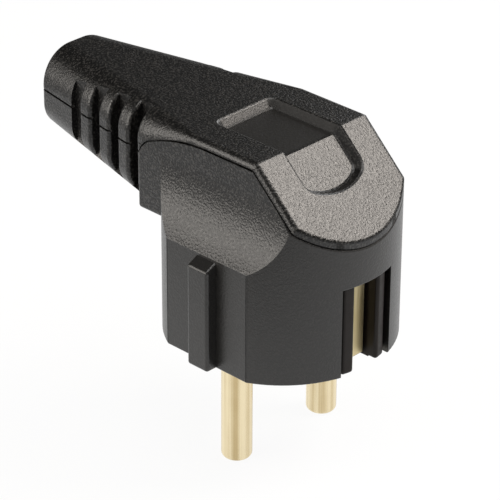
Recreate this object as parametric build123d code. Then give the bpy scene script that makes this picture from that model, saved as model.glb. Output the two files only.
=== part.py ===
from build123d import *
import os
from math import acos, asin, atan2, cos, degrees, hypot, radians, sin, sqrt, tan

# Angled mains plug for rewiring: two round pins, side earth contacts and a ribbed cable neck.
# Millimetres. The origin is the middle of the pin face, X runs through both pins,
# +Y points to the cable end and +Z points away from the pins.

# Pins, turned from brass bar
pin_pitch = 19.0
pin_d = 4.8
pin_length = 19.0
pin_tip_r = 0.9
pin_collar_d = 5.6
pin_head_d = 6.6
pin_head_h = 9.0
wire_hole_d = 3.0
wire_hole_drop = 3.6

# Round skirt with a flat and a key rib on each side
skirt_d = 36.0
flat_x = 16.04
flat_seam_d = 0.3
wall = 2.0
rim_edge_r = 0.35
key_w = 4.2
key_front_h = 16.8
key_edge_r = 0.5

# Hollowed shoulders that draw the skirt in to the side walls
side_x = 12.0
shoulder_r = 16.0
shoulder_top_z = 28.75

# Lid: flat top, sloping nose and rounded edges
top_z = 33.67
bend_y = -5.9
slope_deg = 43.8
edge_r = 1.0
nose_edge_r = 0.7
bend_edge_r = 0.4
lid_band = 1.0
nose_band = 1.1
roof = 2.6

# Thumb recess in the lid
recess_half = 6.1
recess_rear_y = 8.2
recess_reach = 8.8
recess_depth = 1.3
recess_inset = 0.9
recess_rear_r = 1.5
recess_front_r = 10.0
recess_corner_r = 2.6
recess_edge = 0.2

# Block behind the skirt and the tapered cable neck
block_overhang = 0.5
block_low_z = 18.0
block_edge_r = 0.6
root_set_back = 1.2
taper_start_y = 7.0
neck_end_y = 45.0
neck_end_half = 7.07
neck_end_low_z = 20.5
neck_root_top_r = 4.2
neck_end_top_r = 5.9
neck_low_r = 4.3
mouth_edge_r = 1.0
neck_split_z = 27.5
duct_d = 9.6

# Finger grooves along both sides of the neck
groove_count = 4
groove_w = 2.3
groove_pitch = 5.15
groove_start = 0.3
groove_core_x = 8.3
groove_end_core_x = 7.5
groove_low_z = 19.5
groove_run_r = 3.0
groove_edge_r = 0.6

# Parting line between base shell and cover
split_bend_y = 4.0
split_long_r = 28.7
split_long_deg = 23.8
split_short_r = 4.86
shadow_gap = 0.35
shadow_depth = 0.6
peg_d = 1.8
peg_length = 3.0
peg_set_in = 2.7

# Earth slots in the skirt and the contact carrier that fills them
slot_half = 5.25
slot_top_z = 14.7
slot_edge_r = 0.3
slot_clear = 0.05
bar_half = 4.5
bar_set_back = 0.6
bar_edge_r = 0.5
bar_toe_r = 0.45
contact_set_back = 3.0
fit_gap = 0.15
carrier_floor = 4.5
spine_half = 5.0
tower_wall = 1.1

# Earth strap, folded from brass strip, and the sleeve for a socket's earth pin
strap_t = 0.8
strap_bend_r = 0.8
strap_plate_half = 4.0
tongue_w = 3.8
tongue_gap = 0.5
tongue_low_z = 0.8
earth_hole_set_back = 8.0
earth_bore_d = 4.9
earth_sleeve_wall = 0.85
earth_neck_wall = 0.4
earth_lip = 1.0
earth_rim = 0.6

# Cable shelf, clamp posts and clamp bar
shelf_low_z = 15.9
shelf_t = 1.6
shelf_gap = 0.9
post_set_in = 4.7
post_set_back = 4.7
post_d = 5.0
post_top_z = 21.5
clamp_end_gap = 0.6
clamp_w = 5.0
clamp_t = 2.6
clamp_rib_drop = 1.0

# Screws: shank, head and driver slot
thread_gap = 0.05
head_bevel = 0.5
small_screw_d = 2.5
small_head_d = 4.4
small_head_h = 2.0
terminal_screw_d = 2.6
terminal_head_d = 4.8
terminal_head_h = 2.0
earth_screw_d = 3.8
earth_head_d = 6.0
earth_head_h = 2.3
earth_screw_length = 6.0
washer_half = 3.1
washer_t = 1.0
washer_gap = 0.5
housing_screw_d = 3.1
housing_head_d = 6.0
housing_head_h = 2.3
housing_sink = 3.0
housing_screw_top_z = 28.0
boss_d = 6.4
driver_slot_w = 0.8
driver_slot_depth = 0.9

# Worked out from the sizes above
skirt_r = skirt_d / 2
flat_top_z = shoulder_top_z - sqrt(shoulder_r**2 - (side_x + shoulder_r - flat_x) ** 2)
block_rear_y = skirt_r + block_overhang
neck_root_y = block_rear_y - root_set_back
slope = radians(slope_deg)
nose_z = top_z - (skirt_r + bend_y) * tan(slope)
first_groove_y = block_rear_y + groove_start
split_flat_z = top_z - lid_band
split_corner_y = bend_y + lid_band * tan(slope / 2)
split_slope = atan2(split_flat_z - nose_z + nose_band, split_corner_y + skirt_r)
carrier_top_z = slot_top_z - slot_clear
strap_top_z = carrier_top_z + strap_t
contact_y = skirt_r - contact_set_back
strap_plate_y = contact_y - strap_t - strap_bend_r
earth_hole_y = earth_hole_set_back - skirt_r
earth_screw_y = boss_d / 2 + washer_half + washer_gap
shelf_front_y = earth_screw_y + washer_half + shelf_gap
post_x = side_x - post_set_in
post_y = block_rear_y - post_set_back
strap_guide_half = tongue_w / 2 + tongue_gap
earth_sleeve_d = earth_bore_d + 2 * earth_sleeve_wall
earth_neck_d = earth_bore_d + 2 * earth_neck_wall
reach = 80.0


def along_y(face):
    """Prism of a section drawn in X and Z."""
    return extrude(Plane.XZ * face, reach, both=True)


def along_x(face, half_width=reach):
    """Prism of a section drawn in Y and Z."""
    return extrude(Plane.YZ * face, half_width, both=True)


def upright(x, y, d, low_z, high_z):
    """Round bar standing on its end."""
    return Pos(x, y, low_z) * extrude(Circle(d / 2), high_z - low_z)


def slab(x_half, low_y, high_y, low_z, high_z):
    """Block that is centred across the plug."""
    return Pos(0, (low_y + high_y) / 2, (low_z + high_z) / 2) * Box(2 * x_half, high_y - low_y, high_z - low_z)


def closed_section(right_side):
    """Face from the right half of a symmetric outline."""
    return make_face(right_side + mirror(right_side, Plane.YZ))


def across_section(inset, low_z, high_z, corner_r):
    """Cross-section of the body: flats, hollowed shoulders, side walls and rounded top."""
    flat = flat_x - inset
    side = side_x - inset
    hollow_r = shoulder_r + inset
    hollow_x = side_x + shoulder_r
    sweep = degrees(asin(sqrt(hollow_r**2 - (hollow_x - flat) ** 2) / hollow_r))
    hollow = CenterArc((hollow_x, shoulder_top_z), hollow_r, 180 + sweep, -sweep)
    corner = CenterArc((side - corner_r, high_z - corner_r), corner_r, 0, 90)
    skirt_side = Polyline((0, low_z), (flat, low_z), hollow @ 0)
    return closed_section(skirt_side + hollow + Line(hollow @ 1, corner @ 0) + corner + Line(corner @ 1, (0, high_z)))


def lid_nose(inset, depth, corner_r):
    """Lid-wide bar that ends at the sloping nose, with rounded upper edges."""
    side = side_x - inset
    corner = CenterArc((side - corner_r, -depth - corner_r), corner_r, 0, 90)
    right_side = Polyline((0, -reach), (side, -reach), corner @ 0) + corner + Line(corner @ 1, (0, -depth))
    along = Plane(origin=(0, bend_y, top_z), x_dir=(1, 0, 0), z_dir=(0, -cos(slope), -sin(slope)))
    return extrude(along * closed_section(right_side), reach, both=True)


def below_nose(depth):
    """Everything under the sloping part of the parting line."""
    corner_z = split_flat_z - depth / cos(split_slope)
    rise = reach * tan(split_slope)
    low_y = split_corner_y - reach
    high_y = split_corner_y + reach
    corners = [(low_y, corner_z - rise), (high_y, corner_z - rise), (high_y, corner_z + rise)]
    return along_x(make_face(Polyline(*corners, close=True)))


def round_body(inset, roof_inset, low_z, corner_r):
    """Skirt, shoulders and lid ahead of the neck, drawn in by an inset."""
    drum = upright(0, 0, skirt_d - 2 * inset, low_z, top_z)
    section = along_y(across_section(inset, low_z, top_z - roof_inset, corner_r))
    ahead = slab(reach, -reach, taper_start_y, low_z, top_z)
    behind = slab(reach, taper_start_y, reach, low_z, shoulder_top_z)
    nose = lid_nose(inset, roof_inset, corner_r) + below_nose(roof_inset)
    return drum & section & nose & (ahead + behind)


def neck_section(y, half, low_z, high_z, low_r, high_r):
    """Rounded oblong across the neck."""
    high = CenterArc((half - high_r, high_z - high_r), high_r, 0, 90)
    low = CenterArc((half - low_r, low_z + low_r), low_r, 270, 90)
    right_side = Line((0, low_z), low @ 0) + low + Line(low @ 1, high @ 0) + high + Line(high @ 1, (0, high_z))
    return Plane.XZ.offset(-y) * closed_section(right_side)


def neck(inset):
    """Neck lofted from the lid's straight part to the cable mouth."""
    sections = [
        neck_section(taper_start_y, side_x - inset, block_low_z + inset, top_z - inset, neck_low_r, edge_r),
        neck_section(neck_root_y, side_x - inset, block_low_z + inset, top_z - inset, neck_low_r, neck_root_top_r),
        neck_section(
            neck_end_y, neck_end_half - inset, neck_end_low_z + inset, top_z - inset, neck_low_r, neck_end_top_r
        ),
    ]
    return loft(sections, ruled=True)


def block(inset):
    """Square block behind the skirt, with rounded lower and rear edges."""
    body = slab(side_x - inset, 0, block_rear_y - inset, block_low_z + inset, shoulder_top_z)
    lower = body.faces().sort_by(Axis.Z)[0].edges().sort_by(Axis.Y)[1:]
    rear = body.faces().sort_by(Axis.Y)[-1].edges().filter_by(Axis.Z)
    return fillet(lower + rear, block_edge_r)


def plug_form(inset):
    """Outer form of the whole plug without its grooves, drawn in by an inset."""
    return round_body(inset, inset, 0, edge_r) + block(inset) + neck(inset)


def above_split():
    """Space above the parting line."""
    long_arc = JernArc((split_bend_y, split_flat_z), (1, 0), split_long_r, -split_long_deg)
    heading = radians(split_long_deg)
    drop = (long_arc @ 1).Y - neck_split_z
    turn = degrees(acos(cos(heading) - drop / split_short_r)) - split_long_deg
    short_arc = JernArc(long_arc @ 1, long_arc % 1, split_short_r, -turn)
    front_y = split_corner_y - reach
    front_z = split_flat_z - reach * tan(split_slope)
    front = Polyline((front_y, front_z), (split_corner_y, split_flat_z), long_arc @ 0)
    back = Polyline(short_arc @ 1, (reach, neck_split_z), (reach, reach), (front_y, reach), front @ 0)
    return along_x(make_face(front + long_arc + short_arc + back))


def channel_section(y, core_x):
    """Space beside the neck's core, with a floor that runs out before the underside."""
    run_out = CenterArc((core_x + groove_run_r, groove_low_z + groove_run_r), groove_run_r, 180, 90)
    outside = Polyline(run_out @ 1, (reach, groove_low_z), (reach, reach), (core_x, reach), run_out @ 0)
    return Plane.XZ.offset(-y) * make_face(run_out + outside)


def side_channels():
    """Room for all grooves on both sides of the neck."""
    start_y = first_groove_y - 2 * groove_edge_r
    end_y = first_groove_y + (groove_count - 1) * groove_pitch + groove_w
    sections = [channel_section(start_y, groove_core_x), channel_section(end_y, groove_end_core_x)]
    right = loft(sections, ruled=True)
    return right + mirror(right, Plane.YZ)


def ribbed_neck():
    """Neck with a rounded mouth and finger grooves between rounded slices."""
    whole = neck(0)
    core = fillet(whole.faces().sort_by(Axis.Y)[-1].edges(), mouth_edge_r) - side_channels()
    ribs = []
    for i in range(groove_count):
        end_y = first_groove_y + i * groove_pitch
        rib = whole & slab(reach, end_y - groove_pitch + groove_w, end_y, 0, reach)
        ends = rib.faces().sort_by(Axis.Y)
        ribs.append(fillet(ends[0].edges() + ends[-1].edges(), groove_edge_r))
    return core + ribs


def duct():
    """Round way for the cable through the neck."""
    start_y = block_rear_y - wall
    way = extrude(Circle(duct_d / 2), neck_end_y - start_y + wall)
    return Pos(0, start_y, neck_split_z) * Rot(-90, 0, 0) * way


def room(inset, roof_inset):
    """Space inside the shell walls, open at the pin face."""
    body = round_body(inset, roof_inset, -wall, edge_r / 2)
    rear = slab(side_x - inset, 0, block_rear_y - inset, block_low_z + wall, top_z - roof_inset)
    return body + rear


def recess_outline(half, low, high, front_r, corner_r, rear_r):
    """Thumb recess seen square to the lid: bowed front end and rounded rear corners."""
    bow = ThreePointArc((-half, low + front_r - sqrt(front_r**2 - half**2)), (0, low),
                        (half, low + front_r - sqrt(front_r**2 - half**2)))
    outline = make_face(bow + Polyline(bow @ 1, (half, high), (-half, high), bow @ 0))
    corners = outline.vertices().sort_by(Axis.Y)
    outline = fillet(corners[:2], corner_r)
    return fillet(outline.vertices().sort_by(Axis.Y)[-2:], rear_r)


def recess():
    """Recess that runs over the bend, with sloping walls and small bevels along rim and floor."""
    wall_run = recess_inset / recess_depth
    flat_plane = Plane(origin=(0, 0, top_z))
    nose_plane = Plane(origin=(0, bend_y, top_z), x_dir=(1, 0, 0), z_dir=(0, -sin(slope), cos(slope)))
    cutter = Part()
    for plane, low, high in (
        (flat_plane, bend_y - recess_half, recess_rear_y),
        (nose_plane, -recess_reach, recess_half),
    ):
        sections = []
        for depth, inset in (
            (0, -recess_edge),
            (recess_edge, recess_edge * wall_run),
            (recess_depth - recess_edge, recess_inset - recess_edge * wall_run),
            (recess_depth, recess_inset + recess_edge),
        ):
            outline = recess_outline(recess_half - inset, low + inset, high - inset, recess_front_r - inset,
                                     recess_corner_r - inset, recess_rear_r - inset)
            sections.append(plane * Pos(0, 0, -depth) * outline)
        cutter += loft(sections, ruled=True)
    return cutter


def pegs(gap):
    """Locating pegs beside the cable, in the middle of a rib."""
    peg_y = first_groove_y + (groove_w + groove_pitch) / 2
    pair = Part()
    for side in (-1, 1):
        pair += upright(side * (side_x - peg_set_in), peg_y, peg_d + 2 * gap, neck_split_z - peg_length - gap, neck_split_z)
    return pair


def key_ribs():
    """Ribs on the flats that find the socket's grooves."""
    profile = Polyline((flat_x - wall, 0), (skirt_r, 0), (skirt_r, key_front_h),
                       (flat_x - wall, key_front_h + skirt_r - flat_x), (flat_x - wall, 0))
    rib = extrude(Plane.XZ * make_face(profile), key_w / 2, both=True)
    rib = fillet(rib.edges().filter_by(lambda edge: edge.center().X > flat_x - wall + 0.01), key_edge_r)
    return rib + mirror(rib, Plane.YZ)


def flat_seams():
    """Fine grooves where the flats meet the round skirt."""
    seam_y = sqrt(skirt_r**2 - flat_x**2)
    seams = Part()
    for x in (-flat_x, flat_x):
        for y in (-seam_y, seam_y):
            seams += upright(x, y, flat_seam_d, -wall, flat_top_z)
    return seams


def outer_form():
    """Finished outside of the plug, before it is split and hollowed."""
    form = round_body(0, 0, 0, edge_r) + block(0)
    form = fillet(form.edges().filter_by_position(Axis.Z, -0.01, 0.01), rim_edge_r)
    form = fillet(form.edges().sort_by_distance((0, -skirt_r, nose_z))[0], nose_edge_r)
    form = fillet(form.edges().filter_by(Axis.X).sort_by_distance((0, bend_y, top_z))[0], bend_edge_r)
    form -= slab(slot_half, -reach, reach, -wall, slot_top_z) - upright(0, 0, 2 * contact_y, -wall, top_z)
    slot_tops = form.edges().filter_by(GeomType.CIRCLE).filter_by_position(Axis.Z, slot_top_z - 0.01, slot_top_z + 0.01)
    form = fillet(slot_tops.filter_by(lambda edge: edge.radius > contact_y + 0.01), slot_edge_r)
    return form - flat_seams() + ribbed_neck() + key_ribs()


def shelf():
    """Shelf behind the skirt with two posts for the cable clamp."""
    room = round_body(wall - fit_gap, roof, 0, edge_r) + slab(side_x - wall, 0, block_rear_y, block_low_z, top_z)
    top = shelf_low_z + shelf_t
    plate = slab(reach, shelf_front_y, reach, shelf_low_z, top)
    posts = Part()
    for side in (-1, 1):
        posts += upright(side * post_x, post_y, post_d, shelf_low_z, post_top_z)
    return (plate + posts) & room


def base_shell(form, upper):
    """Lower shell with skirt, earth slots, shelf and lower half of the neck."""
    shadow = upper.moved(Pos(0, 0, -shadow_gap)) - plug_form(shadow_depth)
    shell = form - upper - shadow - room(wall, 0) + shelf()
    shell = shell - duct() - pegs(fit_gap / 2)
    for side in (-1, 1):
        shell -= upright(side * post_x, post_y, small_screw_d + 2 * thread_gap, shelf_low_z + shelf_t, top_z)
    return shell


def cover(form, upper):
    """Upper shell: lid that drops inside the base walls, screw boss and upper half of the neck."""
    boss_low_z = strap_top_z + fit_gap
    boss = upright(0, 0, boss_d, boss_low_z, top_z - roof)
    shell = form & (upper + room(wall + fit_gap, 0))
    shell = shell - room(wall, roof) - duct() - recess()
    bore = upright(0, 0, housing_screw_d + 2 * thread_gap, boss_low_z - wall, housing_screw_top_z + wall)
    return shell + boss - bore + pegs(0)


def contact_carrier():
    """Insulating insert: floor disc, earth spine with guide bars, and towers round the pin heads."""
    fit_r = skirt_r - wall - fit_gap
    plan = Circle(fit_r) & Rectangle(2 * (flat_x - wall - fit_gap), skirt_d)
    spine_y = contact_y - strap_t - slot_clear
    spine_end = CenterArc((spine_y - strap_bend_r, carrier_top_z - strap_bend_r), strap_bend_r, 0, 90)
    spine_side = Polyline((0, 0), (spine_y, 0), spine_end @ 0) + spine_end + Line(spine_end @ 1, (0, carrier_top_z))
    spine = along_x(closed_section(spine_side), spine_half)
    bar_r = skirt_r - bar_set_back
    bar_plan = Circle(bar_r) & Rectangle(2 * bar_half, skirt_d)
    bar_plan -= Rectangle(2 * strap_guide_half, skirt_d) + Circle(spine_y - strap_bend_r)
    corners = bar_plan.vertices().filter_by(lambda corner: hypot(corner.X, corner.Y) > contact_y)
    bars = extrude(fillet(corners, bar_edge_r), carrier_top_z)
    toes = bars.edges().filter_by(GeomType.CIRCLE).filter_by_position(Axis.Z, -0.01, 0.01)
    bars = fillet(toes.filter_by(lambda edge: hypot(edge.center().X, edge.center().Y) > contact_y), bar_toe_r)
    pocket_d = pin_head_d + 2 * fit_gap
    guides = slab(strap_guide_half, -skirt_r, skirt_r, -wall, top_z) - slab(skirt_r, -spine_y, spine_y, -wall, top_z)
    body = extrude(plan, carrier_floor) + spine + bars - guides
    for side in (-1, 1):
        tower = upright(side * pin_pitch / 2, 0, pocket_d + 2 * tower_wall, 0, carrier_floor + pin_head_h)
        body += tower & extrude(plan, top_z)
    for side in (-1, 1):
        x = side * pin_pitch / 2
        body -= upright(x, 0, pin_collar_d + 2 * slot_clear, -wall, top_z)
        body -= upright(x, 0, pocket_d, carrier_floor, top_z)
        wire_way = Box(wire_hole_d, pin_head_d, pin_head_h, align=(Align.CENTER, Align.MIN, Align.MIN))
        body -= Pos(x, 0, carrier_floor + pin_head_h - wire_hole_drop - wire_hole_d / 2) * wire_way
    body -= upright(0, 0, housing_screw_d + 4 * fit_gap, -wall, top_z)
    body -= upright(0, 0, housing_head_d + 4 * fit_gap, -wall, housing_sink)
    body -= upright(0, earth_hole_y, earth_bore_d + 4 * fit_gap, -wall, top_z)
    body -= upright(0, earth_hole_y, earth_sleeve_d + 2 * fit_gap, earth_lip, top_z)
    body -= upright(0, earth_screw_y, earth_screw_d + 4 * fit_gap, carrier_top_z - earth_screw_length, top_z)
    return body


def turned(profile_points):
    """Solid of revolution about Z from points given as radius and height."""
    return revolve(Plane.XZ * make_face(Polyline(*profile_points, close=True)), Axis.Z)


def contact_pin(x):
    """Turned pin with a collar in the carrier floor and a pillar terminal on top."""
    top = carrier_floor + pin_head_h
    body = turned([(0, -pin_length), (pin_d / 2, -pin_length), (pin_d / 2, 0), (pin_collar_d / 2, 0),
                   (pin_collar_d / 2, carrier_floor), (pin_head_d / 2, carrier_floor),
                   (pin_head_d / 2, top), (0, top)])
    body = fillet(body.edges().sort_by(Axis.Z)[0], pin_tip_r)
    body -= Pos(0, 0, top - wire_hole_drop) * Rot(90, 0, 0) * Cylinder(wire_hole_d / 2, 2 * pin_head_d)
    body -= upright(0, 0, terminal_screw_d + 2 * thread_gap, top - wire_hole_drop, top + wall)
    return Pos(x, 0, 0) * body


def screw(shank_d, length, head_d, head_h):
    """Slotted screw, head up, with its seat at Z = 0."""
    taper = shank_d / 4
    body = turned([(0, -length), (shank_d / 2 - taper, -length), (shank_d / 2, taper - length),
                   (shank_d / 2, 0), (head_d / 2, 0), (head_d / 2, head_h - head_bevel),
                   (head_d / 2 - head_bevel, head_h), (0, head_h)])
    return body - Pos(0, 0, head_h) * Box(driver_slot_w, 2 * head_d, 2 * driver_slot_depth)


def pin_terminal_screws():
    """Clamping screws of both pin terminals."""
    one = screw(terminal_screw_d, wire_hole_drop - terminal_screw_d / 4, terminal_head_d, terminal_head_h)
    top = carrier_floor + pin_head_h
    return Compound(children=[Pos(side * pin_pitch / 2, 0, top) * one for side in (-1, 1)])


def earth_strap():
    """Brass strip folded over the carrier, with a contact tongue down in each earth slot."""
    inner_y = contact_y - strap_t
    outer = CenterArc((inner_y - strap_bend_r, carrier_top_z - strap_bend_r), strap_bend_r + strap_t, 0, 90)
    inner = CenterArc((inner_y - strap_bend_r, carrier_top_z - strap_bend_r), strap_bend_r, 0, 90)
    half = Line((0, strap_top_z), outer @ 1) + outer + Line(outer @ 0, (contact_y, tongue_low_z))
    half += Polyline((contact_y, tongue_low_z), (inner_y, tongue_low_z), inner @ 0)
    half += inner + Line(inner @ 1, (0, carrier_top_z))
    strip = along_x(closed_section(half), strap_plate_half)
    tongues = slab(tongue_w / 2, -skirt_r, skirt_r, 0, top_z)
    plate = slab(strap_plate_half, -strap_plate_y, strap_plate_y, carrier_top_z, top_z)
    strap = strip & (tongues + plate)
    strap -= upright(0, 0, housing_screw_d + 4 * fit_gap, 0, top_z)
    strap -= upright(0, earth_hole_y, earth_neck_d + 2 * thread_gap, 0, top_z)
    return strap - upright(0, earth_screw_y, earth_screw_d + 2 * thread_gap, 0, top_z)


def earth_sleeve():
    """Sleeve for the socket's earth pin, riveted into the strap."""
    bore_r = earth_bore_d / 2
    rim_top = strap_top_z + earth_rim
    return turned([(bore_r, earth_lip), (earth_sleeve_d / 2, earth_lip), (earth_sleeve_d / 2, carrier_top_z),
                   (earth_neck_d / 2, carrier_top_z), (earth_neck_d / 2, strap_top_z),
                   (earth_sleeve_d / 2, strap_top_z), (earth_sleeve_d / 2, rim_top),
                   (bore_r, rim_top)]).moved(Pos(0, earth_hole_y, 0))


def earth_washer():
    """Square clamp washer of the earth terminal."""
    plate = RectangleRounded(2 * washer_half, 2 * washer_half, washer_half / 4)
    plate -= Circle(earth_screw_d / 2 + fit_gap)
    return Pos(0, earth_screw_y, strap_top_z) * extrude(plate, washer_t)


def earth_screw():
    """Screw of the earth terminal."""
    one = screw(earth_screw_d, earth_screw_length, earth_head_d, earth_head_h)
    return Pos(0, earth_screw_y, strap_top_z + washer_t) * one


def cable_clamp_bar():
    """Bar that presses the cable on the shelf, with a biting rib below."""
    plan = SlotOverall(2 * (side_x - wall - clamp_end_gap), clamp_w)
    bar = extrude(plan, clamp_t)
    for side in (-1, 1):
        bar -= upright(side * post_x, 0, small_screw_d + 4 * fit_gap, -wall, clamp_t + wall)
    rib = Pos(0, 0, -clamp_rib_drop / 2) * Box(2 * post_x - post_d - 2 * clamp_rib_drop, clamp_rib_drop, clamp_rib_drop)
    return Pos(0, post_y, post_top_z) * (bar + rib)


def cable_clamp_screws():
    """Screws that hold the clamp bar on its posts."""
    length = post_top_z + clamp_t - shelf_low_z - shelf_t - small_screw_d / 4
    one = screw(small_screw_d, length, small_head_d, small_head_h)
    return Compound(children=[Pos(side * post_x, post_y, post_top_z + clamp_t) * one for side in (-1, 1)])


def housing_screw():
    """Long screw from the pin face through carrier and strap into the cover boss."""
    one = screw(housing_screw_d, housing_screw_top_z - housing_sink, housing_head_d, housing_head_h)
    return Pos(0, 0, housing_sink) * Rot(180, 0, 0) * one


outer = outer_form()
upper_space = above_split()
pieces = {
    "base_shell": base_shell(outer, upper_space),
    "cover": cover(outer, upper_space),
    "contact_carrier": contact_carrier(),
    "line_pin": contact_pin(-pin_pitch / 2),
    "neutral_pin": contact_pin(pin_pitch / 2),
    "pin_terminal_screws": pin_terminal_screws(),
    "earth_strap": earth_strap(),
    "earth_sleeve": earth_sleeve(),
    "earth_washer": earth_washer(),
    "earth_screw": earth_screw(),
    "cable_clamp_bar": cable_clamp_bar(),
    "cable_clamp_screws": cable_clamp_screws(),
    "housing_screw": housing_screw(),
}

os.makedirs("parts", exist_ok=True)
for name, shape in pieces.items():
    export_step(shape, f"parts/{name}.step")
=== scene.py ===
import math

import bpy
from mathutils import Matrix, Vector


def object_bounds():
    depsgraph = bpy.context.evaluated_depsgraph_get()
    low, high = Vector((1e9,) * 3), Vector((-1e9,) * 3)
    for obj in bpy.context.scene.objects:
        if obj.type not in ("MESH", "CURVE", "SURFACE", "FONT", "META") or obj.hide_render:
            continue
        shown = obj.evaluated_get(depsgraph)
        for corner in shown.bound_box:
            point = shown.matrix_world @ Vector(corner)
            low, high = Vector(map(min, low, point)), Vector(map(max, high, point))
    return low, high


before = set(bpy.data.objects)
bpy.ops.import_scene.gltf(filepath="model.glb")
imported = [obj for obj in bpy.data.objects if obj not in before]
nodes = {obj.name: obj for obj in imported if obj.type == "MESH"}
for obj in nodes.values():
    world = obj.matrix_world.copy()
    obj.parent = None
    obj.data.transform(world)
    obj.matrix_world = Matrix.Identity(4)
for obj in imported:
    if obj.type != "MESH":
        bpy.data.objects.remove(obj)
cad_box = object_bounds()

# Contact carrier: the black insert that holds the pins and shows as two guide bars in each earth slot.
# Moulded thermoplastic with a plain, slightly polished skin, held down by the long housing screw.

mm_per_metre = 1000
noise_band = (0.3, 0.7)


def dress(node, material):
    """Give a CAD node its finish."""
    for slot in nodes[node].material_slots:
        slot.material = material


def new_material(name):
    """Node material with its tree, its shader and the place on the piece in millimetres."""
    material = bpy.data.materials.new(name)
    material.use_nodes = True
    tree = material.node_tree
    place = tree.nodes.new("ShaderNodeTexCoord")
    to_mm = tree.nodes.new("ShaderNodeMapping")
    to_mm.inputs["Scale"].default_value = (mm_per_metre,) * 3
    tree.links.new(place.outputs["Object"], to_mm.inputs["Vector"])
    return material, tree, tree.nodes["Principled BSDF"], to_mm.outputs["Vector"]


def noise(tree, vector, per_mm, detail, roughness=0.5):
    """Noise with its scale per millimetre."""
    node = tree.nodes.new("ShaderNodeTexNoise")
    node.inputs["Scale"].default_value = per_mm
    node.inputs["Detail"].default_value = detail
    node.inputs["Roughness"].default_value = roughness
    tree.links.new(vector, node.inputs["Vector"])
    return node.outputs["Fac"]


def spread(tree, value, before, after):
    """Soft step that carries a value from one range, low and high, to another."""
    node = tree.nodes.new("ShaderNodeMapRange")
    node.interpolation_type = "SMOOTHSTEP"
    for name, number in zip(("From Min", "From Max", "To Min", "To Max"), (*before, *after)):
        node.inputs[name].default_value = number
    tree.links.new(value, node.inputs["Value"])
    return node.outputs["Result"]


def tint(tree, factor, dark, pale):
    """Colour between two tones."""
    ramp = tree.nodes.new("ShaderNodeValToRGB")
    ramp.color_ramp.elements[0].color = (*dark, 1)
    ramp.color_ramp.elements[1].color = (*pale, 1)
    tree.links.new(factor, ramp.inputs["Fac"])
    return ramp.outputs["Color"]


def roughen(tree, shader, height, depth_mm):
    """Bump from a height field, with its depth in millimetres."""
    bump = tree.nodes.new("ShaderNodeBump")
    bump.inputs["Distance"].default_value = depth_mm / mm_per_metre
    tree.links.new(height, bump.inputs["Height"])
    tree.links.new(bump.outputs["Normal"], shader.inputs["Normal"])


def smooth_black(name, dark, pale, dull, shine):
    """Plain moulded black: faint flow marks and a thin haze of handling."""
    haze_swing = 0.06
    skin_depth_mm = 0.004
    material, tree, shader, mm = new_material(name)
    flow = noise(tree, mm, per_mm=0.12, detail=3)
    haze = noise(tree, mm, per_mm=0.9, detail=4, roughness=0.6)
    skin = noise(tree, mm, per_mm=2.2, detail=3)
    hazy = spread(tree, haze, noise_band, (dull - haze_swing, dull + haze_swing))
    tree.links.new(tint(tree, flow, dark, pale), shader.inputs["Base Color"])
    tree.links.new(hazy, shader.inputs["Roughness"])
    shader.inputs["Specular IOR Level"].default_value = shine
    roughen(tree, shader, skin, skin_depth_mm)
    return material


carrier_dark = (0.008, 0.0055, 0.0045)
carrier_pale = (0.014, 0.010, 0.008)
dress("contact_carrier", smooth_black("carrier_black", carrier_dark, carrier_pale, dull=0.40, shine=0.22))

# Line and neutral pins: turned from pale brass bar, then polished along their length.
# Each sits with its collar in the carrier floor and its terminal head on top.

rising = (0.0, 1.0)


def combine(tree, operation, first, second=0):
    """One step of arithmetic on linked values or plain numbers."""
    node = tree.nodes.new("ShaderNodeMath")
    node.operation = operation
    for socket, value in zip(node.inputs, (first, second)):
        if isinstance(value, (int, float)):
            socket.default_value = value
        else:
            tree.links.new(value, socket)
    return node.outputs["Value"]


def drawn_metal(name, dark, pale, dull, stretch):
    """Bare metal with fine draw lines and cloudy patches in its colour, the lines pulled long where the
    stretch is small; on the pins the streaks are also painted reflection.
    """
    streak_band = (0.30, 0.66)
    line_share = 0.75
    cloud_share = 0.25
    dull_swing = 0.07
    line_depth_mm = 0.006
    material, tree, shader, mm = new_material(name)
    pull = tree.nodes.new("ShaderNodeMapping")
    pull.inputs["Scale"].default_value = stretch
    tree.links.new(mm, pull.inputs["Vector"])
    lines = noise(tree, pull.outputs["Vector"], per_mm=1.0, detail=3)
    cloud = noise(tree, mm, per_mm=0.25, detail=3)
    streaks = spread(tree, lines, streak_band, rising)
    line_tone = combine(tree, "MULTIPLY", streaks, line_share)
    tone = combine(tree, "ADD", line_tone, combine(tree, "MULTIPLY", cloud, cloud_share))
    rubbed = spread(tree, lines, noise_band, (dull - dull_swing, dull + dull_swing))
    tree.links.new(tint(tree, tone, dark, pale), shader.inputs["Base Color"])
    tree.links.new(rubbed, shader.inputs["Roughness"])
    shader.inputs["Metallic"].default_value = 1.0
    roughen(tree, shader, lines, line_depth_mm)
    return material


# The dark and pale streaks in the pins' colour are partly draw lines and partly painted reflection of their
# dark and pale surroundings.
pin_dark = (0.50, 0.38, 0.19)
pin_pale = (0.95, 0.83, 0.57)
along_pin = (1.1, 1.1, 0.012)
pin_brass = drawn_metal("pin_brass", pin_dark, pin_pale, dull=0.26, stretch=along_pin)
for node in ("line_pin", "neutral_pin"):
    dress(node, pin_brass)

# Earth strap and earth sleeve: strip brass folded over the carrier, and a riveted tube for an earth pin.
# The tongues of the strap are the contacts that show at the back of the earth slots.

earth_dark = (0.58, 0.47, 0.24)
earth_pale = (0.82, 0.72, 0.46)
along_strap = (2.0, 2.0, 0.08)
earth_brass = drawn_metal("earth_brass", earth_dark, earth_pale, dull=0.45, stretch=along_strap)
for node in ("earth_strap", "earth_sleeve"):
    dress(node, earth_brass)

# Screws and washer: slotted screws for the terminals, the clamp and the housing, and a square earth washer.
# Zinc-plated steel with no direction in its grain. The long housing screw goes in last, from the pin face.

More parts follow.
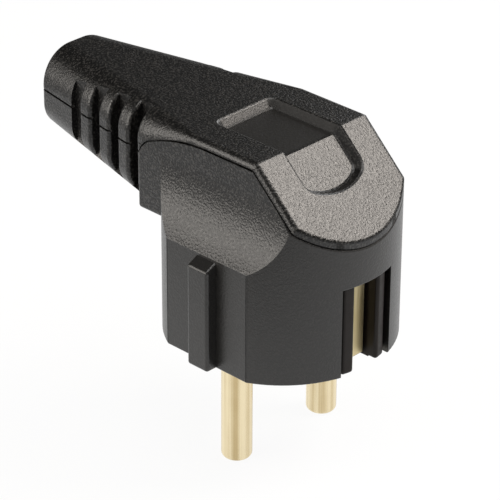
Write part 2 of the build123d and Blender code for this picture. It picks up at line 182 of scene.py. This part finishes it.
zinc_dark = (0.42, 0.42, 0.40)
zinc_pale = (0.66, 0.66, 0.64)
all_ways = (1.2, 1.2, 1.2)
screw_steel = drawn_metal("screw_steel", zinc_dark, zinc_pale, dull=0.32, stretch=all_ways)
for node in ("pin_terminal_screws", "earth_washer", "earth_screw", "cable_clamp_screws", "housing_screw"):
    dress(node, screw_steel)

# Cable clamp bar: the small bridge that presses the cable on the shelf behind the skirt.
# Moulded in plain black thermoplastic and pulled down on its posts by two screws.

clamp_dark = (0.024, 0.023, 0.022)
clamp_pale = (0.038, 0.037, 0.035)
dress("cable_clamp_bar", smooth_black("clamp_black", clamp_dark, clamp_pale, dull=0.42, shine=0.5))

# Base shell: the lower half of the housing, with the skirt round the carrier and half of the neck.
# Moulded in black plastic in a tool that left a fine eroded grain on the shoulders and the neck,
# and a smooth skin on the skirt and its flats. The long screw pulls it against the cover.

falling = (1.0, 0.0)


def grained_black(name, grain_depth_mm, smooth_depth, zones):
    """Black moulding with a fine eroded grain and painted glints of light on its crests, and zones of
    smooth skin and of dull faces.
    """
    black = (0.0004, 0.0004, 0.0003)
    grey = (0.0320, 0.0308, 0.0290)
    glint_band = (0.50, 0.66)
    glint_tone = 0.9
    smooth_glints = 0.15
    flow_tone = 0.08
    smooth_tone = 0.30
    wear_band = (0.35, 0.65)
    pit_dull = 0.365
    crest_dull = 0.32
    added_dull = 0.45
    plastic_ior = 1.58
    material, tree, shader, mm = new_material(name)
    axes = tree.nodes.new("ShaderNodeSeparateXYZ")
    tree.links.new(mm, axes.inputs["Vector"])
    smooth, dull = zones(tree, axes.outputs)
    grain = noise(tree, mm, per_mm=3.2, detail=1, roughness=0.4)
    flow = noise(tree, mm, per_mm=0.1, detail=3)
    # Painted glints: pale flecks in the colour where the grain's crests catch light, fewer on the smooth
    # skin.
    painted_glints = spread(tree, grain, glint_band, (0.0, glint_tone))
    fewer_glints = spread(tree, smooth, rising, (1.0, smooth_glints))
    glint_speckle = combine(tree, "MULTIPLY", painted_glints, fewer_glints)
    flow_marks = combine(tree, "MULTIPLY", flow, flow_tone)
    skin = combine(tree, "ADD", flow_marks, combine(tree, "MULTIPLY", smooth, smooth_tone))
    tone = combine(tree, "ADD", glint_speckle, skin)
    tree.links.new(tint(tree, tone, black, grey), shader.inputs["Base Color"])
    worn = spread(tree, grain, wear_band, (pit_dull, crest_dull))
    roughness = combine(tree, "ADD", worn, combine(tree, "MULTIPLY", dull, added_dull))
    tree.links.new(roughness, shader.inputs["Roughness"])
    shader.inputs["IOR"].default_value = plastic_ior
    shallower = spread(tree, smooth, rising, (1.0, smooth_depth))
    roughen(tree, shader, combine(tree, "MULTIPLY", grain, shallower), grain_depth_mm)
    return material


def base_zones(tree, axes):
    """Smooth on the skirt and the round front, and dull on the ledge under the sloping lid."""
    foot_z = 18.1
    foot_edge = (foot_z - 0.3, foot_z + 0.3)
    skirt_r = cad_box[1][0] * mm_per_metre
    skirt_edge = (skirt_r - 0.15, skirt_r - 0.05)
    ledge_rise = 0.935
    ledge_level = 37.44
    ledge_edge = (ledge_level - 0.2, ledge_level - 0.08)
    low = spread(tree, axes["Z"], foot_edge, falling)
    squares = [combine(tree, "MULTIPLY", axes[way], axes[way]) for way in "XY"]
    radius = combine(tree, "SQRT", combine(tree, "ADD", *squares))
    on_skirt = spread(tree, radius, skirt_edge, rising)
    nose = combine(tree, "MULTIPLY", on_skirt, combine(tree, "LESS_THAN", axes["Y"], 0))
    climb = combine(tree, "SUBTRACT", axes["Z"], combine(tree, "MULTIPLY", axes["Y"], ledge_rise))
    ledge = spread(tree, climb, ledge_edge, rising)
    return combine(tree, "MAXIMUM", low, nose), ledge


base_black = grained_black("base_black", grain_depth_mm=0.082, smooth_depth=0.5, zones=base_zones)
dress("base_shell", base_black)

# Cover: the upper half of the housing, with the lid, the thumb recess and the top of the neck.
# Moulded in the same black plastic, grained outside and smooth on the flat floor of the recess.
# Its lid drops inside the walls of the base, and the long screw bites in its boss.


def cover_zones(tree, axes):
    """Smooth on the flat floor of the recess, by its depth under the lid, and dull on its side walls."""
    top_z = cad_box[1][2] * mm_per_metre
    bend_y = -5.9
    slope = math.radians(43.8)
    recess_half = 6.4
    recess_rear_y = 8.6
    rim_edge = (-0.25, -0.06)
    wall_edge = (5.0, 5.4)
    flat_edge = (bend_y + 0.6, bend_y + 1.4)
    across = combine(tree, "ABSOLUTE", axes["X"])
    above_flat = combine(tree, "SUBTRACT", axes["Z"], top_z)
    ahead = combine(tree, "SUBTRACT", bend_y, axes["Y"])
    rise = combine(tree, "MULTIPLY", above_flat, math.cos(slope))
    above_slope = combine(tree, "ADD", combine(tree, "MULTIPLY", ahead, math.sin(slope)), rise)
    above_lid = combine(tree, "MAXIMUM", above_flat, above_slope)
    deep = spread(tree, above_lid, rim_edge, falling)
    between = combine(tree, "LESS_THAN", across, recess_half)
    before_rear = combine(tree, "LESS_THAN", axes["Y"], recess_rear_y)
    recess = combine(tree, "MULTIPLY", deep, combine(tree, "MULTIPLY", between, before_rear))
    wall = spread(tree, across, wall_edge, rising)
    flat = spread(tree, axes["Y"], flat_edge, rising)
    return combine(tree, "MULTIPLY", recess, flat), combine(tree, "MULTIPLY", recess, wall)


cover_black = grained_black("cover_black", grain_depth_mm=0.068, smooth_depth=0.26, zones=cover_zones)
dress("cover", cover_black)

# Floor: a plain white table under the pin tips that runs out of sight and keeps the plug's shadow.
# Matt paint that glows white to the camera, and glows to shiny faces as a painted pool of light round the
# plug that dims away from it.

floor_side = 4
floor_z = cad_box[0][2]
paint = (0.85, 0.85, 0.85, 1)
paint_dull = 0.9
white_share = 0.93
patch_x, patch_y = 0.050, 0.010
patch_y_scale = 0.7
patch_edge = (0.115, 0.155)
patch_glow, far_glow = 1.0, 0.2
bpy.ops.object.select_all(action="DESELECT")
bpy.ops.mesh.primitive_plane_add(size=floor_side, location=(0, 0, floor_z))
floor = bpy.context.active_object
floor.name = "floor"
bpy.ops.object.transform_apply(location=True)
white = bpy.data.materials.new("table_white")
white.use_nodes = True
tree = white.node_tree
matt = tree.nodes["Principled BSDF"]
matt.inputs["Base Color"].default_value = paint
matt.inputs["Roughness"].default_value = paint_dull
place = tree.nodes.new("ShaderNodeTexCoord")
from_patch = tree.nodes.new("ShaderNodeMapping")
from_patch.inputs["Location"].default_value = (-patch_x, -patch_y * patch_y_scale, 0)
from_patch.inputs["Scale"].default_value = (1, patch_y_scale, 1)
tree.links.new(place.outputs["Object"], from_patch.inputs["Vector"])
patch_distance = tree.nodes.new("ShaderNodeVectorMath")
patch_distance.operation = "LENGTH"
tree.links.new(from_patch.outputs["Vector"], patch_distance.inputs[0])
# Painted pool of light: the glow that shiny faces mirror is strongest round the plug and falls to a dim
# surround.
painted_light_pool = spread(tree, patch_distance.outputs["Value"], patch_edge, (patch_glow, far_glow))
path = tree.nodes.new("ShaderNodeLightPath")
glow = tree.nodes.new("ShaderNodeEmission")
tree.links.new(combine(tree, "MAXIMUM", path.outputs["Is Camera Ray"], painted_light_pool), glow.inputs["Strength"])
seen = combine(tree, "MAXIMUM", path.outputs["Is Camera Ray"], path.outputs["Is Glossy Ray"])
mix = tree.nodes.new("ShaderNodeMixShader")
tree.links.new(combine(tree, "MULTIPLY", seen, white_share), mix.inputs["Fac"])
tree.links.new(matt.outputs["BSDF"], mix.inputs[1])
tree.links.new(glow.outputs["Emission"], mix.inputs[2])
tree.links.new(mix.outputs["Shader"], tree.nodes["Material Output"].inputs["Surface"])
floor.data.materials.append(white)

# Studio: flat lamps turned to the plug, a strong warm one high at its front right that shines off the
# sloping lid, a large soft one at its left rear, and weaker ones overhead and at its right.
# The room is white to the camera, and otherwise grey near the horizon and dark overhead.

plug_middle = Vector((0, 0.010, 0.018))
for name, way, distance, wide, high, radiance, colour in (
    ("nose_lamp", (0.542, -0.472, 0.695), 0.60, 0.30, 0.30, 11.5, (1.0, 0.93, 0.86)),
    ("left_lamp", (-0.898, 0.44, 0.33), 0.63, 0.84, 0.46, 3.75, (1.0, 0.95, 0.89)),
    ("top_lamp", (0.0, -0.15, 1.0), 0.70, 0.40, 0.40, 4.0, (1.0, 0.98, 0.96)),
    ("right_lamp", (0.978, 0.207, 0.45), 0.66, 0.39, 0.30, 4.0, (1.0, 1.0, 1.0)),
):
    lamp = bpy.data.lights.new(name, "AREA")
    lamp.shape = "RECTANGLE"
    lamp.size = wide
    lamp.size_y = high
    lamp.energy = radiance * math.pi * wide * high
    lamp.color = colour
    stand = bpy.data.objects.new(name, lamp)
    stand.visible_camera = False
    bpy.context.scene.collection.objects.link(stand)
    away = Vector(way).normalized()
    turn = away.to_track_quat("Z", "Y").to_matrix().to_4x4()
    stand.matrix_world = Matrix.Translation(plug_middle + distance * away) @ turn

horizon_light, overhead_light = 0.35, 0.03
horizon_rise = 0.22
room = bpy.data.worlds.new("room")
bpy.context.scene.world = room
room.use_nodes = True
tree = room.node_tree
look = tree.nodes.new("ShaderNodeTexCoord")
axes = tree.nodes.new("ShaderNodeSeparateXYZ")
tree.links.new(look.outputs["Generated"], axes.inputs["Vector"])
path = tree.nodes.new("ShaderNodeLightPath")
level = spread(tree, axes.outputs["Z"], (0.0, horizon_rise), (horizon_light, overhead_light))
strength = combine(tree, "MAXIMUM", level, path.outputs["Is Camera Ray"])
tree.links.new(strength, tree.nodes["Background"].inputs["Strength"])
tree.nodes["Background"].inputs["Color"].default_value = (1, 1, 1, 1)

# Camera: a long lens at the photograph's angle, aimed a little above the pin face.
# Its place was worked out from the pins, the pin face and the round skirt.

azimuth = math.radians(46.08)
elevation = math.radians(28.53)
roll = math.radians(0.31)
distance = 0.41401
aim = Vector((0, 0, 0.015))
aim_right, aim_up = 0.00474, 0.00175
lens_pixels = 2766.7
image_pixels = 500
sensor_mm = 36
nearest = 0.01
level_share = math.cos(elevation)
back = Vector((-math.sin(azimuth) * level_share, -math.cos(azimuth) * level_share, math.sin(elevation)))
level_right = Vector((math.cos(azimuth), -math.sin(azimuth), 0))
level_up = back.cross(level_right)
right = math.cos(roll) * level_right + math.sin(roll) * level_up
up = math.cos(roll) * level_up - math.sin(roll) * level_right
view = bpy.data.cameras.new("photo_view")
view.sensor_width = sensor_mm
view.lens = lens_pixels / image_pixels * sensor_mm
view.clip_start = nearest
camera = bpy.data.objects.new("photo_view", view)
bpy.context.scene.collection.objects.link(camera)
spot = aim + distance * back - aim_right * right - aim_up * up
camera.matrix_world = Matrix.Translation(spot) @ Matrix((right, up, back)).transposed().to_4x4()
bpy.context.scene.camera = camera
bpy.context.scene.view_settings.view_transform = "Standard"
